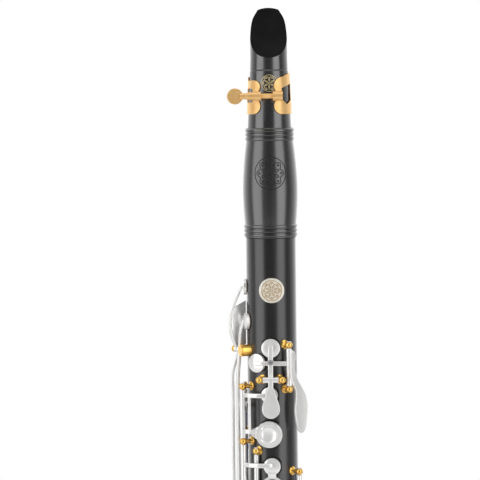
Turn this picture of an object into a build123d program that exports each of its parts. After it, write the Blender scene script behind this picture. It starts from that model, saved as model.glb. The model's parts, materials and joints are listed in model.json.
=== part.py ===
"""A B-flat Boehm clarinet, standing on its bell.

Millimetres, +Z along the bore towards the mouthpiece, origin at the centre of the bell's mouth.
The tone holes face -Y. Azimuth 0 is the front (-Y), +90 is +X, -90 is -X and 180 is the back.
"""
from build123d import *
import math
import os

# ---- driving dimensions ----
BELL_TOP = 107.0
LOWER_TOP = BELL_TOP + 232.0
UPPER_TOP = LOWER_TOP + 190.0
BARREL_TOP = UPPER_TOP + 66.0
TIP = BARREL_TOP + 72.0

BORE_R = 7.3
UPPER_R = 15.0
LOWER_R = 15.6
BELL_MOUTH_R = 40.0
TENON_R, TENON_LENGTH = 10.4, 17.0
CORK_R, CORK_LENGTH = 11.1, 12.0
SOCKET_R = 11.15
LOWER_TENON_R, LOWER_TENON_LENGTH = 12.6, 20.0
LOWER_CORK_R, LOWER_CORK_LENGTH = 13.3, 14.0
LOWER_SOCKET_R = 13.35

TUBE_R = 1.7            # key hinge tubes
ROD_R = 0.9             # steel rods inside them
ROD_CLEARANCE = 0.05
BALL_R = 2.15           # post balls
FLANGE_R = 2.7          # post feet
FLAT_DEPTH = 0.35       # spot face under a post's foot
SEAT_DROP = 0.5         # a tone hole's seat lies this far below the body's surface
PAD_GAP = 0.1           # closed pad to seat
PAD_PROUD = 0.5         # pad below its cup's rim
PAD_RECESS = 1.0
CUP_DOME = 1.4          # cup's crown above its pad
ARM_WIDTH, ARM_THICK = 2.7, 1.5

UPPER_HINGE = (-58.5, 21.2)     # azimuth and radius of each long hinge line
SIDE_HINGE_2 = (-121.0, 19.5)
SIDE_HINGE_1 = (-139.0, 19.5)
SLIVER_HINGE = (-36.0, 17.7)
GS_HINGE = (30.0, 20.0)
CS_HINGE = (49.0, 20.5)
A_HINGE_AZ, A_HINGE_Y = -3.5, 19.6
RH_HINGE = (-58.5, 21.5)
E_B_HINGE = (62.0, 22.0)
FS_CS_HINGE = (88.0, 22.0)
F_C_HINGE = (-66.0, 22.0)
LH_F_C_HINGE = (114.0, 22.0)


# ---- placing ----
def polar(az, r, z=0.0):
    a = math.radians(az)
    return Vector(r * math.sin(a), -r * math.cos(a), z)


def around(az):
    """The direction of growing azimuth."""
    a = math.radians(az)
    return Vector(math.cos(a), math.sin(a), 0)


def radial(az, r, z):
    """A plane facing outward at azimuth az: its x runs round the body, its y runs up."""
    return Plane(origin=polar(az, r, z), x_dir=around(az), z_dir=polar(az, 1))


def hinge_axis(hinge):
    return Axis(polar(hinge[0], hinge[1]), (0, 0, 1))


def turned(points):
    """A solid of revolution about Z from (radius, z) points joined by straight lines."""
    line = Polyline(*[(r, 0, z) for r, z in points], close=True)
    return revolve(make_face(line), Axis.Z)


def up_cylinder(r, z0, z1, at=(0, 0)):
    return Pos(at[0], at[1], (z0 + z1) / 2) * Cylinder(r, z1 - z0)


def ring_about_z(r_in, r_out, z0, height):
    return up_cylinder(r_out, z0, z0 + height) - up_cylinder(r_in, z0 - 1, z0 + height + 1)


def out_cylinder(az, z, r, r0, r1):
    """A cylinder of radius r along the outward direction, from r0 to r1 off the bore's axis."""
    return radial(az, (r0 + r1) / 2, z) * Cylinder(r, r1 - r0)


def fuse(pieces):
    whole = pieces[0]
    return whole + pieces[1:] if len(pieces) > 1 else whole


# ---- key work ----
BALL_END = 2.25                     # a tube stops this far from the centre of a post's ball
HEAD_R, HEAD_FOOT = 1.3, 1.3        # a rod's head, and how far above the ball's centre it starts


def tube(hinge, low_post, high_post, r=TUBE_R):
    """A hinge tube that fills the space between two posts."""
    p = polar(*hinge)
    return up_cylinder(r, low_post + BALL_END, high_post - BALL_END, (p.X, p.Y))


def hinged(hinge, posts_z, pieces, r=TUBE_R):
    """One solid of a key's pieces and its hinge tube, bored for the rod."""
    low, high = posts_z
    p = polar(*hinge)
    bore = up_cylinder(ROD_R + ROD_CLEARANCE, low, high, (p.X, p.Y))
    return fuse([tube(hinge, low, high, r), *pieces]) - bore


def hinge_rod(hinge, low_post, high_post):
    """A steel hinge rod through every post of its line, with a slotted head in the upper post."""
    p = polar(*hinge)
    head = up_cylinder(HEAD_R, high_post + HEAD_FOOT, high_post + HEAD_FOOT + 1.0, (p.X, p.Y))
    slot = Pos(p.X, p.Y, high_post + HEAD_FOOT + 1.0) * Box(3, 0.4, 0.9)
    return up_cylinder(ROD_R, low_post - 1.9, high_post + HEAD_FOOT + 0.1, (p.X, p.Y)) + (head - slot)


def rod_hole(hinge, low_post, high_post):
    """The hole a hinge rod leaves in its posts, wider where the head sits in the upper one."""
    p = polar(*hinge)
    return up_cylinder(ROD_R, low_post - 1.9, high_post + HEAD_FOOT + 0.1, (p.X, p.Y)) + up_cylinder(
        HEAD_R, high_post + HEAD_FOOT, high_post + 4, (p.X, p.Y))


def bar(points, across=(0, 0, 1), width=ARM_WIDTH, thick=ARM_THICK):
    """A round-edged bar along a smooth curve; its width lies in the direction across."""
    path = Spline(*points) if len(points) > 3 else ThreePointArc(*points)
    start = Plane(origin=path @ 0, x_dir=across, z_dir=path % 0)
    return sweep(start * RectangleRounded(width, thick, thick * 0.42), path=path)


def wrap(stations, z, width=ARM_WIDTH, thick=ARM_THICK):
    """A level arm that follows the body through (azimuth, radius) stations."""
    return bar([polar(az, r, z) for az, r in stations], width=width, thick=thick)


def cup_arm(hinge, az, z, body_r, rise=0.0, z_arm=None, thick=ARM_THICK):
    """The arm from a hinge line to the crown of a cup at azimuth az."""
    end_r = cup_top(body_r) + 0.1
    stations = [hinge, ((hinge[0] + az) / 2, (hinge[1] + end_r) / 2 + rise), (az, end_r)]
    return wrap(stations, z if z_arm is None else z_arm, thick=thick)


def upright(az, points, width=ARM_WIDTH, thick=ARM_THICK):
    """A bar in the radial plane at azimuth az through (radius, height) points."""
    return bar([polar(az, r, z) for r, z in points], around(az), width, thick)


def block(az, r0, r1, z0, z1, width):
    """A flat-sided block at azimuth az between two radii and two heights."""
    return radial(az, r0, (z0 + z1) / 2) * Pos(0, 0, (r1 - r0) / 2) * Box(width, z1 - z0, r1 - r0)


def cup_top(body_r):
    return body_r - SEAT_DROP + PAD_GAP + PAD_PROUD + PAD_RECESS + CUP_DOME


def cup(az, z, r, body_r):
    """A domed pad cup, open towards the body. Its rim stands off the seat by the pad's proud edge."""
    rim = body_r - SEAT_DROP + PAD_GAP + PAD_PROUD
    crown, edge, wall = PAD_RECESS + CUP_DOME, PAD_RECESS + 0.55, 0.4
    outline = Polyline((r, 0, edge), (r, 0, 0), (r - wall, 0, 0), (r - wall, 0, PAD_RECESS),
                       (0, 0, PAD_RECESS), (0, 0, crown))
    dome = ThreePointArc((0, 0, crown), (r * 0.55, 0, crown - (crown - edge) * 0.27), (r, 0, edge))
    return radial(az, rim, z) * revolve(make_face([*outline.edges(), *dome.edges()]), Axis.Z)


def cup_recess(az, z, r, body_r):
    """The room inside a cup and below it, which an arm that enters low must stay out of."""
    rim = body_r - SEAT_DROP + PAD_GAP + PAD_PROUD
    return out_cylinder(az, z, r - 0.4, rim - 4, rim + PAD_RECESS)


def pad(az, z, r, body_r):
    base = body_r - SEAT_DROP + PAD_GAP
    return out_cylinder(az, z, r - 0.42, base, base + PAD_PROUD + PAD_RECESS)


def ring(az, z, r_in, r_out, r0, r1):
    return out_cylinder(az, z, r_out, r0, r1) - out_cylinder(az, z, r_in, r0 - 1, r1 + 1)


def touch(outline, az, z, r0, r1, back=0.0):
    """A finger touch: an outline in the radial plane, cut from the shell between radii r0 and r1.

    The shell's axis is the bore's, or lies back behind it, which makes the touch flatter.
    """
    slab = extrude(radial(az, r0 - 12, z) * outline, 12 + (r1 - r0) + 12)
    axis = tuple(polar(az, -back))[:2]
    shell = up_cylinder(r1 + back, z - 60, z + 60, axis) - up_cylinder(r0 + back, z - 61, z + 61, axis)
    above = (radial(az, r1 + 5, z) * outline).center()
    leaf = slab & shell
    return fillet(leaf.faces().sort_by(lambda face: face.distance_to(above))[0].edges(), 0.35)


def drop(length, width, neck=2.6):
    """A teardrop outline: a narrow neck at the top (y = 0) widening to a round end at y = -length."""
    half, rest = width / 2, length - width / 2
    left = Spline((-neck / 2, 0), (-half * 0.8, -rest * 0.62), (-half, -rest),
                  tangents=[(-0.25, -1), (0, -1)])
    right = Spline((half, -rest), (half * 0.8, -rest * 0.62), (neck / 2, 0),
                   tangents=[(0, 1), (-0.25, 1)])
    end = ThreePointArc((-half, -rest), (0, -length), (half, -rest))
    return make_face([left.edge(), end.edge(), right.edge(), Line((neck / 2, 0), (-neck / 2, 0)).edge()])


def stud_length(z):
    """A post's stud is short where the wall is thin, round the middle socket."""
    return 1.6 if LOWER_TOP - LOWER_TENON_LENGTH - 2 < z < LOWER_TOP else 4.0


def post(az, ball_r, z, body_r):
    """A turned post with a foot, a waisted stem, a ball and a stud screwed into the body."""
    foot = body_r - FLAT_DEPTH
    h = ball_r - foot
    stud = stud_length(z)
    neck = h - BALL_R * 0.6
    stem = turned([(0, -stud), (1.15, -stud), (1.15, 0), (FLANGE_R, 0), (FLANGE_R, 0.6), (1.9, 1.0),
                   (1.25, 1.9 if h > 4 else 1.3), (1.25, neck), (0, neck)])
    return radial(az, foot, z) * (stem + Pos(0, 0, h) * Sphere(BALL_R))


def hole_cut(az, z, hole_r, seat_r, cup_r, body_r):
    """What a padded tone hole takes from the body: its bore, its flat seat and the trough round it."""
    seat = body_r - SEAT_DROP
    return [out_cylinder(az, z, hole_r, 3, body_r + 4),
            out_cylinder(az, z, seat_r + 0.02, seat, body_r + 4),
            ring(az, z, seat_r, cup_r + 0.9, seat - 0.5, body_r + 4)]


# ---- where things sit on the joints ----
# Padded tone holes: azimuth, height, hole radius, seat radius, cup radius.
UPPER_HOLES = {
    "register": (180, 508.0, 1.5, 2.9, 4.2),
    "throat_a": (A_HINGE_AZ, 463.0, 2.4, 3.9, 5.6),
    "throat_gs": (-36, 453.8, 2.6, 4.1, 5.6),
    "vent": (-6, 434.6, 2.7, 3.7, 5.0),
    "lh1": (-7.5, 411.0, 4.2, 5.6, 8.0),
    "lh2": (-2, 391.7, 2.8, 3.8, 5.1),
    "sliver": (-64, 372.0, 2.2, 3.0, 4.0),
    "side_4": (-92, 499.0, 2.3, 3.6, 5.0),
    "side_3": (-76, 478.5, 2.3, 3.6, 5.0),
    "side_2": (-152, 400.0, 2.5, 3.4, 4.6),
    "side_1": (-164, 378.0, 2.7, 3.4, 4.6),
    "c_sharp": (6, 350.5, 2.6, 3.5, 4.7),
}
LOWER_HOLES = {
    "rh_vent": (0, 306.0, 2.8, 3.3, 4.3),
    "rh_sliver": (-64, 281.0, 2.2, 3.0, 4.0),
    "g_sharp": (-114, 236.0, 4.0, 5.0, 6.4),
    "f_c": (-6, 199.0, 5.6, 6.7, 8.3),
    "fs_cs": (24, 170.0, 5.6, 6.7, 8.3),
    "e_b": (-4, 137.0, 6.0, 7.1, 8.7),
}
# Open finger holes with chimneys: azimuth, height, hole radius.
CHIMNEY_R, CHIMNEY_PROUD = 5.0, 1.6
UPPER_CHIMNEYS = {"thumb": (180, 425.0, 3.8), "lh2": (-2, 378.5, 3.5), "lh3": (0, 362.5, 3.5)}
LOWER_CHIMNEYS = {"rh1": (0, 319.0, 3.9), "rh2": (0, 293.5, 4.1), "rh3": (0, 268.0, 3.6)}

# Lever frame of the two trill keys: out_dir points outward at the saddle, back_dir along their pivot.
SADDLE_AZ, SADDLE_Z, SADDLE_R, PIVOT_U = -68.0, 461.0, 3.6, 18.5
SIDE_3_V, SIDE_4_V, PIVOT_END_V = 5.3, 9.4, 14.2
REGISTER_PIVOT_Z, REGISTER_PIVOT_R = 478.0, 19.5
A_POST_SPREAD = 6.9
A_PIVOT_Z = 444.2
THROAT_POST_R = math.hypot(A_POST_SPREAD, A_HINGE_Y)
THROAT_POST_AZ = math.degrees(math.atan2(A_POST_SPREAD, A_HINGE_Y))
PIVOT_END_R = math.hypot(PIVOT_U, PIVOT_END_V)
PIVOT_END_AZ = SADDLE_AZ - math.degrees(math.atan2(PIVOT_END_V, PIVOT_U))
REGISTER_SPREAD = 4.6
REGISTER_POST_R = math.hypot(REGISTER_SPREAD, REGISTER_PIVOT_R)
REGISTER_POST_AZ = math.degrees(math.atan2(REGISTER_SPREAD, REGISTER_PIVOT_R))

# Heights of the posts along each hinge line, from the bottom up.
GS_Z, UPPER_Z, SLIVER_Z = (438.2, 465.0), (344.0, 406.4, 439.6), (357.6, 400.8)
SIDE_2_Z, SIDE_1_Z, CS_Z = (364.0, 411.0, 438.0), (345.5, 387.0), (344.8, 388.0)
RH_Z, RH_SLIVER_Z, F_C_Z = (257.0, 331.0), (273.0, 289.3), (186.0, 226.5, 250.0)
E_B_Z, FS_CS_Z, LH_F_C_Z = (128.5, 245.0, 332.0), (160.0, 248.5, 326.0), (205.0, 320.0)
UPPER_LINES = [(GS_HINGE, GS_Z), (UPPER_HINGE, UPPER_Z), (SLIVER_HINGE, SLIVER_Z),
               (SIDE_HINGE_2, SIDE_2_Z), (SIDE_HINGE_1, SIDE_1_Z), (CS_HINGE, CS_Z)]
LOWER_LINES = [(RH_HINGE, RH_Z), (SLIVER_HINGE, RH_SLIVER_Z), (F_C_HINGE, F_C_Z),
               (E_B_HINGE, E_B_Z), (FS_CS_HINGE, FS_CS_Z), (LH_F_C_HINGE, LH_F_C_Z)]

# Posts: azimuth, radius of the ball's centre, height.
UPPER_POSTS = [
    *[(*hinge, z) for hinge, heights in UPPER_LINES for z in heights],
    *[(A_HINGE_AZ + s * THROAT_POST_AZ, THROAT_POST_R, A_PIVOT_Z) for s in (-1, 1)],
    *[(180 + s * REGISTER_POST_AZ, REGISTER_POST_R, REGISTER_PIVOT_Z) for s in (-1, 1)],
    (PIVOT_END_AZ, PIVOT_END_R, SADDLE_Z),
]
LOWER_POSTS = [(*hinge, z) for hinge, heights in LOWER_LINES for z in heights]


# ---- mouthpiece, ligature and reed ----
TABLE_Y = 9.1                       # the flat the reed lies on
MOUTH_FOOT_R, MOUTH_TOP_R = 13.1, 11.1
BEAK_FOOT_Z = TIP - 30.0
GROOVE_Z = TIP - 37.5
TIP_HALF_WIDTH = 6.3
CHAMBER_HALF_WIDTH = 5.3


def mouth_r(z):
    """Outer radius of the mouthpiece's cone at height z."""
    return MOUTH_FOOT_R + (MOUTH_TOP_R - MOUTH_FOOT_R) * (z - BARREL_TOP) / (BEAK_FOOT_Z - BARREL_TOP)


def beak_outline():
    """The mouthpiece seen from the front: straight sides that round in to a blunt tip."""
    r = MOUTH_TOP_R + 0.02
    side = Spline((r, BEAK_FOOT_Z + 9), (r - 0.5, BEAK_FOOT_Z + 17.5), (r - 2.0, BEAK_FOOT_Z + 24),
                  (TIP_HALF_WIDTH, TIP - 1.2), tangents=[(0, 1), (-0.55, 1)])
    tip = ThreePointArc((TIP_HALF_WIDTH, TIP - 1.2), (0, TIP), (-TIP_HALF_WIDTH, TIP - 1.2))
    other = mirror(side, Plane.YZ)
    wide, low, shoulder = 20, BARREL_TOP - TENON_LENGTH - 5, BEAK_FOOT_Z + 9
    foot = Polyline((-r, shoulder), (-wide, shoulder), (-wide, low), (wide, low), (wide, shoulder),
                    (r, shoulder))
    return make_face([*side.edges(), *tip.edges(), *other.edges(), *foot.edges()])


def make_mouthpiece():
    top = TIP + 1
    cone = turned([(0, BARREL_TOP - TENON_LENGTH + 0.3), (TENON_R, BARREL_TOP - TENON_LENGTH + 0.3),
                   (TENON_R, BARREL_TOP), (MOUTH_FOOT_R, BARREL_TOP),
                   (mouth_r(GROOVE_Z - 0.4), GROOVE_Z - 0.4), (mouth_r(GROOVE_Z) - 0.35, GROOVE_Z),
                   (mouth_r(GROOVE_Z) - 0.1, GROOVE_Z + 0.5), (MOUTH_TOP_R, BEAK_FOOT_Z),
                   (MOUTH_TOP_R, top), (0, top)])
    outline = extrude(Plane.XZ * beak_outline(), 20, both=True)
    slope = Spline((-16, BEAK_FOOT_Z - 3.2), (-11.1, BEAK_FOOT_Z), (-5.2, BEAK_FOOT_Z + 5.6),
                   (1.4, BEAK_FOOT_Z + 15), (TABLE_Y - 1.0, TIP + 0.4))
    air = Polyline((TABLE_Y - 1.0, TIP + 0.4), (TABLE_Y - 1.0, TIP + 5), (-16, TIP + 5),
                   (-16, BEAK_FOOT_Z - 3.2))
    beak_air = extrude(Plane.YZ * make_face([*slope.edges(), *air.edges()]), 20, both=True)
    behind = Pos(0, TABLE_Y + 10, TIP) * Box(40, 20, 2 * (TIP - BARREL_TOP) - 4)
    bore = up_cylinder(BORE_R, 0, BARREL_TOP + 26)
    chamber = extrude(Plane.YZ * make_face(Polyline(
        (-5, BARREL_TOP + 18), (TABLE_Y - 1.9, BARREL_TOP + 18), (TABLE_Y - 1.9, BARREL_TOP + 33),
        (TABLE_Y + 1, BARREL_TOP + 36), (TABLE_Y + 1, TIP - 1.2), (TABLE_Y - 0.6, TIP - 1.2), (1.0, TIP - 19),
        (-5, BARREL_TOP + 36), close=True)), CHAMBER_HALF_WIDTH, both=True)
    groove = ring_about_z(TENON_R - 0.9, TENON_R + 1, BARREL_TOP - TENON_LENGTH + 2.5, CORK_LENGTH)
    return (cone & outline) - [beak_air, behind, bore, chamber, groove]


REED_LENGTH, REED_BUTT_HALF, REED_TIP_HALF = 67.0, 5.6, 6.2
REED_TIP_THICK, VAMP_Z = 0.28, TIP - 33.0


def make_reed():
    """A cane reed: a flat back on the table, a rounded bark over the butt and a vamp down to a thin tip."""
    z0, y0 = TIP - REED_LENGTH, TABLE_Y + 0.03
    sides = make_face([
        *Polyline((REED_TIP_HALF, TIP - 2.0), (REED_BUTT_HALF, z0), (-REED_BUTT_HALF, z0),
                  (-REED_TIP_HALF, TIP - 2.0)).edges(),
        *ThreePointArc((-REED_TIP_HALF, TIP - 2.0), (0, TIP - 0.3), (REED_TIP_HALF, TIP - 2.0)).edges()])
    slab = extrude(Plane.XZ * sides, -20)
    vamp = Spline((y0 + 3.1, VAMP_Z), (y0 + 1.75, VAMP_Z + 11), (y0 + 0.8, TIP - 9),
                  (y0 + REED_TIP_THICK, TIP))
    back = Polyline((y0 + REED_TIP_THICK, TIP), (y0, TIP), (y0, z0), (y0 + 3.1, z0), (y0 + 3.1, VAMP_Z))
    side_view = make_face([*back.edges(), *vamp.edges()])
    thickness = extrude(Plane.YZ * side_view, 20, both=True)
    bark = turned([(0, z0 - 1), (mouth_r(z0 - 1) - 0.15, z0 - 1), (MOUTH_TOP_R - 0.15 + 0.2, BEAK_FOOT_Z),
                   (MOUTH_TOP_R + 0.05, TIP + 1), (0, TIP + 1)])
    return slab & thickness & bark


LIGATURE_TOP, LIGATURE_FOOT = TIP - 39.5, TIP - 63.8
LIGATURE_GAP, LIGATURE_THICK = 0.12, 0.75
SCREW_Z, SCREW_Y = TIP - 52.8, -17.2
LEFT_LOBE_X, RIGHT_LOBE_X = -5.6, 2.9


def lobed_plate(inner_x, outer_x, top, foot, waist0, waist1):
    """The front half of the band on one side: two lobes with round ends and a waist between them."""
    s = 1 if outer_x > inner_x else -1
    upper_mid, lower_mid = (top + waist1) / 2, (foot + waist0) / 2
    back = inner_x + s * 5
    up_end = ThreePointArc((back, top), (inner_x, upper_mid - 0.6), (inner_x + s * 0.8, waist1))
    low_end = ThreePointArc((inner_x + s * 0.8, waist0), (inner_x, lower_mid + 0.6), (back, foot))
    sides = Polyline((back, foot), (outer_x, foot), (outer_x, top), (back, top))
    waist = Line((inner_x + s * 0.8, waist1), (inner_x + s * 0.8, waist0))
    return make_face([*up_end.edges(), *waist.edges(), *low_end.edges(), *sides.edges()])


def mouth_cone(extra):
    """A cone that stands off the mouthpiece's wall by extra, over the ligature's height."""
    low, high = LIGATURE_FOOT - 1, LIGATURE_TOP + 3
    return turned([(0, low), (mouth_r(low) + extra, low), (mouth_r(high) + extra, high), (0, high)])


def make_ligature_band():
    band = mouth_cone(LIGATURE_GAP + LIGATURE_THICK) - mouth_cone(LIGATURE_GAP)
    waist0, waist1 = SCREW_Z - 3.2, SCREW_Z + 3.2
    left = lobed_plate(LEFT_LOBE_X, -16, LIGATURE_TOP - 4.2, LIGATURE_FOOT, waist0, waist1)
    right = lobed_plate(RIGHT_LOBE_X, 16, LIGATURE_TOP - 2.0, LIGATURE_FOOT, waist0, waist1)
    slant = make_face(Polyline((RIGHT_LOBE_X + 3, LIGATURE_TOP - 3), (16, LIGATURE_TOP - 3),
                               (16, LIGATURE_TOP + 2.2), close=True))
    shield = make_face(Polyline((-2.7, 3.4), (2.4, 5.8), (2.6, -4.0), (0.4, -6.4), (-2.7, -3.4), close=True))
    windows = [Pos(-12.3, SCREW_Z + 0.2) * RectangleRounded(4.6, 8.4, 1.2), Pos(10.2, SCREW_Z + 1.2) * shield]
    front = extrude(Plane.XZ * (left + right + slant - windows), 20)
    mid = (LIGATURE_TOP + LIGATURE_FOOT) / 2 - 1
    back_face = Pos(0, mid) * Rectangle(40, LIGATURE_TOP - LIGATURE_FOOT - 2)
    slots = [Pos(x, mid) * RectangleRounded(5.2, 15.5, 2.4) for x in (-9, 9)]
    back = extrude(Plane.XZ * (back_face - slots), -20)
    return (band & front) + (band & back)


SCREW_R, LUG_R = 1.5, 2.9
LUGS = {"left": (-15.4, -5.2), "right": (2.0, 7.9)}


def x_cylinder(r, x0, x1, y, z):
    return Pos((x0 + x1) / 2, y, z) * Rot(0, 90, 0) * Cylinder(r, x1 - x0)


def make_ligature_lugs():
    """The two lugs that carry the screw: a long cone and a short tube, each on a foot on the band."""
    (left0, left1), (right0, right1) = LUGS["left"], LUGS["right"]
    along = Pos((left0 + left1) / 2, SCREW_Y, SCREW_Z) * Rot(0, 90, 0)
    cone = along * Cone(LUG_R - 1.0, LUG_R, left1 - left0)
    short = x_cylinder(LUG_R, right0, right1, SCREW_Y, SCREW_Z)
    inside = mouth_cone(LIGATURE_GAP + LIGATURE_THICK)
    feet = [Pos(-8.0, -12.8, SCREW_Z) * Box(4.6, 6.8, 2.6) - inside,
            Pos((right0 + right1) / 2, -13.5, SCREW_Z) * Box(right1 - right0 - 0.6, 5.4, 2.6) - inside]
    screw_way = x_cylinder(SCREW_R + 0.06, left0 - 1, right1 + 1, SCREW_Y, SCREW_Z)
    return [cone + feet[0] - screw_way, short + feet[1] - screw_way]


def make_ligature_screw():
    """A long screw with a flat disc head on a collar; its threads show between the two lugs."""
    x0, x1 = LUGS["left"][0], LUGS["right"][1]
    shank = x_cylinder(SCREW_R, x0 - 1.5, x1 - 0.6, SCREW_Y, SCREW_Z)
    thread = Rot(0, 90, 0) * Torus(SCREW_R - 0.12, 0.22)
    threads = [Pos(LUGS["left"][1] + 0.55 + 0.62 * i, SCREW_Y, SCREW_Z) * thread for i in range(11)]
    collar = x_cylinder(1.85, x0 - 2.3, x0 - 0.25, SCREW_Y, SCREW_Z)
    disc = Pos(x0 - 5.2, SCREW_Y, SCREW_Z) * Rot(90, 0, 0) * Cylinder(4.8, 1.7)
    disc = chamfer(disc.edges(), 0.35)
    return fuse([shank, *threads, collar, disc])


# ---- wooden joints ----
def beads(r, z0, z1, count, depth=0.55):
    """The outline of turned beads up the wall from z0 to z1, as (radius, height) points."""
    step = (z1 - z0) / count
    points = []
    for i in range(count):
        base = z0 + i * step
        points += [(r - depth, base), (r - depth, base + step * 0.14), (r - 0.12, base + step * 0.26),
                   (r, base + step * 0.42), (r, base + step * 0.66), (r - 0.12, base + step * 0.82),
                   (r - depth, base + step * 0.94)]
    return points + [(r - depth, z1)]


BEAD_BAND = 8.0
BARREL_WAIST_R, BARREL_BELLY_R, BARREL_FOOT_R = 14.3, 16.7, 15.6


def barrel_wall(z):
    """Outer radius of the barrel's swelling: widest below the middle."""
    low, high = UPPER_TOP + BEAD_BAND, BARREL_TOP - BEAD_BAND
    belly = UPPER_TOP + 29.5
    if z < belly:
        t = (belly - z) / (belly - low)
        return BARREL_BELLY_R + (BARREL_FOOT_R - BARREL_BELLY_R) * t * t
    t = (z - belly) / (high - belly)
    return BARREL_BELLY_R + (BARREL_WAIST_R - BARREL_BELLY_R) * (0.35 * t + 0.65 * t * t)


def make_barrel():
    low, high = UPPER_TOP + BEAD_BAND, BARREL_TOP - BEAD_BAND
    foot_beads = beads(16.3, UPPER_TOP + 0.3, low, 3)
    top_beads = beads(14.95, high, BARREL_TOP - 0.3, 3)
    heights = [low + (high - low) * i / 8 for i in range(9)]
    wall = Spline(*[(barrel_wall(z), 0, z) for z in heights])
    outer = Polyline(wall @ 1, *[(r, 0, z) for r, z in top_beads], (14.2, 0, BARREL_TOP),
                     (SOCKET_R, 0, BARREL_TOP), (SOCKET_R, 0, BARREL_TOP - TENON_LENGTH),
                     (BORE_R, 0, BARREL_TOP - TENON_LENGTH), (BORE_R, 0, UPPER_TOP + TENON_LENGTH),
                     (SOCKET_R, 0, UPPER_TOP + TENON_LENGTH), (SOCKET_R, 0, UPPER_TOP),
                     (15.6, 0, UPPER_TOP), *[(r, 0, z) for r, z in foot_beads], wall @ 0)
    return revolve(make_face([*wall.edges(), *outer.edges()]), Axis.Z)


def chimney(az, z, body_r):
    return out_cylinder(az, z, CHIMNEY_R, body_r - 1.5, body_r + CHIMNEY_PROUD)


def make_joint(profile, holes, chimneys, posts, body_r, extra_cuts=()):
    body = turned(profile)
    body += [chimney(az, z, body_r) for az, z, _ in chimneys.values()]
    cuts = [out_cylinder(az, z, r, 3, body_r + 5) for az, z, r in chimneys.values()]
    for az, z, hole_r, seat_r, cup_r in holes.values():
        cuts += hole_cut(az, z, hole_r, seat_r, cup_r, body_r)
    for az, _, z in posts:
        foot = body_r - FLAT_DEPTH
        cuts += [out_cylinder(az, z, FLANGE_R + 0.05, foot, foot + 6),
                 out_cylinder(az, z, 1.17, foot - stud_length(z) - 0.05, foot + 1)]
    return body - [*cuts, *extra_cuts]


MEDALLION_Z, MEDALLION_R, MEDALLION_THICK = 497.6, 7.6, 2.05
MEDALLION_FACE = UPPER_R - 0.35


def make_upper_joint():
    foot = LOWER_TOP - LOWER_TENON_LENGTH + 0.3
    low_groove, groove_r = LOWER_TOP - LOWER_CORK_LENGTH - 2.5, LOWER_CORK_R - 1.5
    high_groove = UPPER_TOP + 2.5 + CORK_LENGTH
    profile = [(BORE_R, foot), (LOWER_TENON_R, foot), (LOWER_TENON_R, low_groove), (groove_r, low_groove),
               (groove_r, LOWER_TOP - 2.5), (LOWER_TENON_R, LOWER_TOP - 2.5), (LOWER_TENON_R, LOWER_TOP),
               (UPPER_R, LOWER_TOP), (UPPER_R, UPPER_TOP - 0.4), (UPPER_R - 0.4, UPPER_TOP),
               (TENON_R, UPPER_TOP), (TENON_R, UPPER_TOP + 2.5), (TENON_R - 0.9, UPPER_TOP + 2.5),
               (TENON_R - 0.9, high_groove), (TENON_R, high_groove),
               (TENON_R, UPPER_TOP + TENON_LENGTH - 0.3), (BORE_R, UPPER_TOP + TENON_LENGTH - 0.3)]
    saddle_seat = [out_cylinder(SADDLE_AZ, SADDLE_Z, SADDLE_R + 0.05, UPPER_R - 1.0, UPPER_R + 5),
                   out_cylinder(SADDLE_AZ, SADDLE_Z, 1.52, UPPER_R - 4.6, UPPER_R)]
    inlay = out_cylinder(0, MEDALLION_Z, MEDALLION_R + 0.02, MEDALLION_FACE - MEDALLION_THICK, UPPER_R + 1)
    vent_seat = out_cylinder(180, UPPER_HOLES["register"][1], 2.2, 4, UPPER_R)
    thumb_seat = out_cylinder(180, UPPER_CHIMNEYS["thumb"][1], 4.4, 4, UPPER_R + 4)
    return make_joint(profile, UPPER_HOLES, UPPER_CHIMNEYS, UPPER_POSTS, UPPER_R,
                      [*saddle_seat, inlay, vent_seat, thumb_seat])


def make_lower_joint():
    socket_r, socket_foot = 17.0, LOWER_TOP - 11
    top_beads = beads(socket_r, socket_foot + 3, LOWER_TOP - 0.3, 3)
    socket_end = LOWER_TOP - LOWER_TENON_LENGTH
    tenon_r, groove_r = LOWER_TENON_R + 1.2, LOWER_CORK_R - 0.3
    groove = BELL_TOP - 2.5 - LOWER_CORK_LENGTH
    profile = [(BORE_R, 150), (BORE_R, socket_end), (LOWER_SOCKET_R, socket_end), (LOWER_SOCKET_R, LOWER_TOP),
               (socket_r - 0.8, LOWER_TOP), *reversed(top_beads), (LOWER_R, socket_foot), (LOWER_R, 150),
               (LOWER_R + 0.5, 125), (17.2, BELL_TOP), (tenon_r, BELL_TOP), (tenon_r, BELL_TOP - 2.5),
               (groove_r, BELL_TOP - 2.5), (groove_r, groove), (tenon_r, groove), (tenon_r, BELL_TOP - 19.7),
               (10.6, BELL_TOP - 19.7)]
    return make_joint(profile, LOWER_HOLES, LOWER_CHIMNEYS, LOWER_POSTS, LOWER_R, thumb_rest_holes())


def make_bell():
    top_beads = beads(20.3, BELL_TOP - 9, BELL_TOP - 0.3, 3)
    outside = Spline((19.4, 0, BELL_TOP - 12), (18.7, 0, BELL_TOP - 30), (21.5, 0, 48), (28.5, 0, 22),
                     (38.6, 0, 3.2))
    inside = Spline((37.2, 0, 0), (26.5, 0, 20), (19.0, 0, 46), (14.0, 0, 70), (10.8, 0, BELL_TOP - 20))
    rim = Polyline(outside @ 1, (39.7, 0, 2.6), (BELL_MOUTH_R, 0, 1.6), (39.6, 0, 0), inside @ 0)
    socket_r = LOWER_CORK_R + 1.25
    top = Polyline(inside @ 1, (socket_r, 0, BELL_TOP - 20), (socket_r, 0, BELL_TOP), (19.4, 0, BELL_TOP),
                   *[(r, 0, z) for r, z in reversed(top_beads)], outside @ 0)
    return revolve(make_face([*outside.edges(), *rim.edges(), *inside.edges(), *top.edges()]), Axis.Z)


THUMB_REST_Z = 300.0


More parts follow.
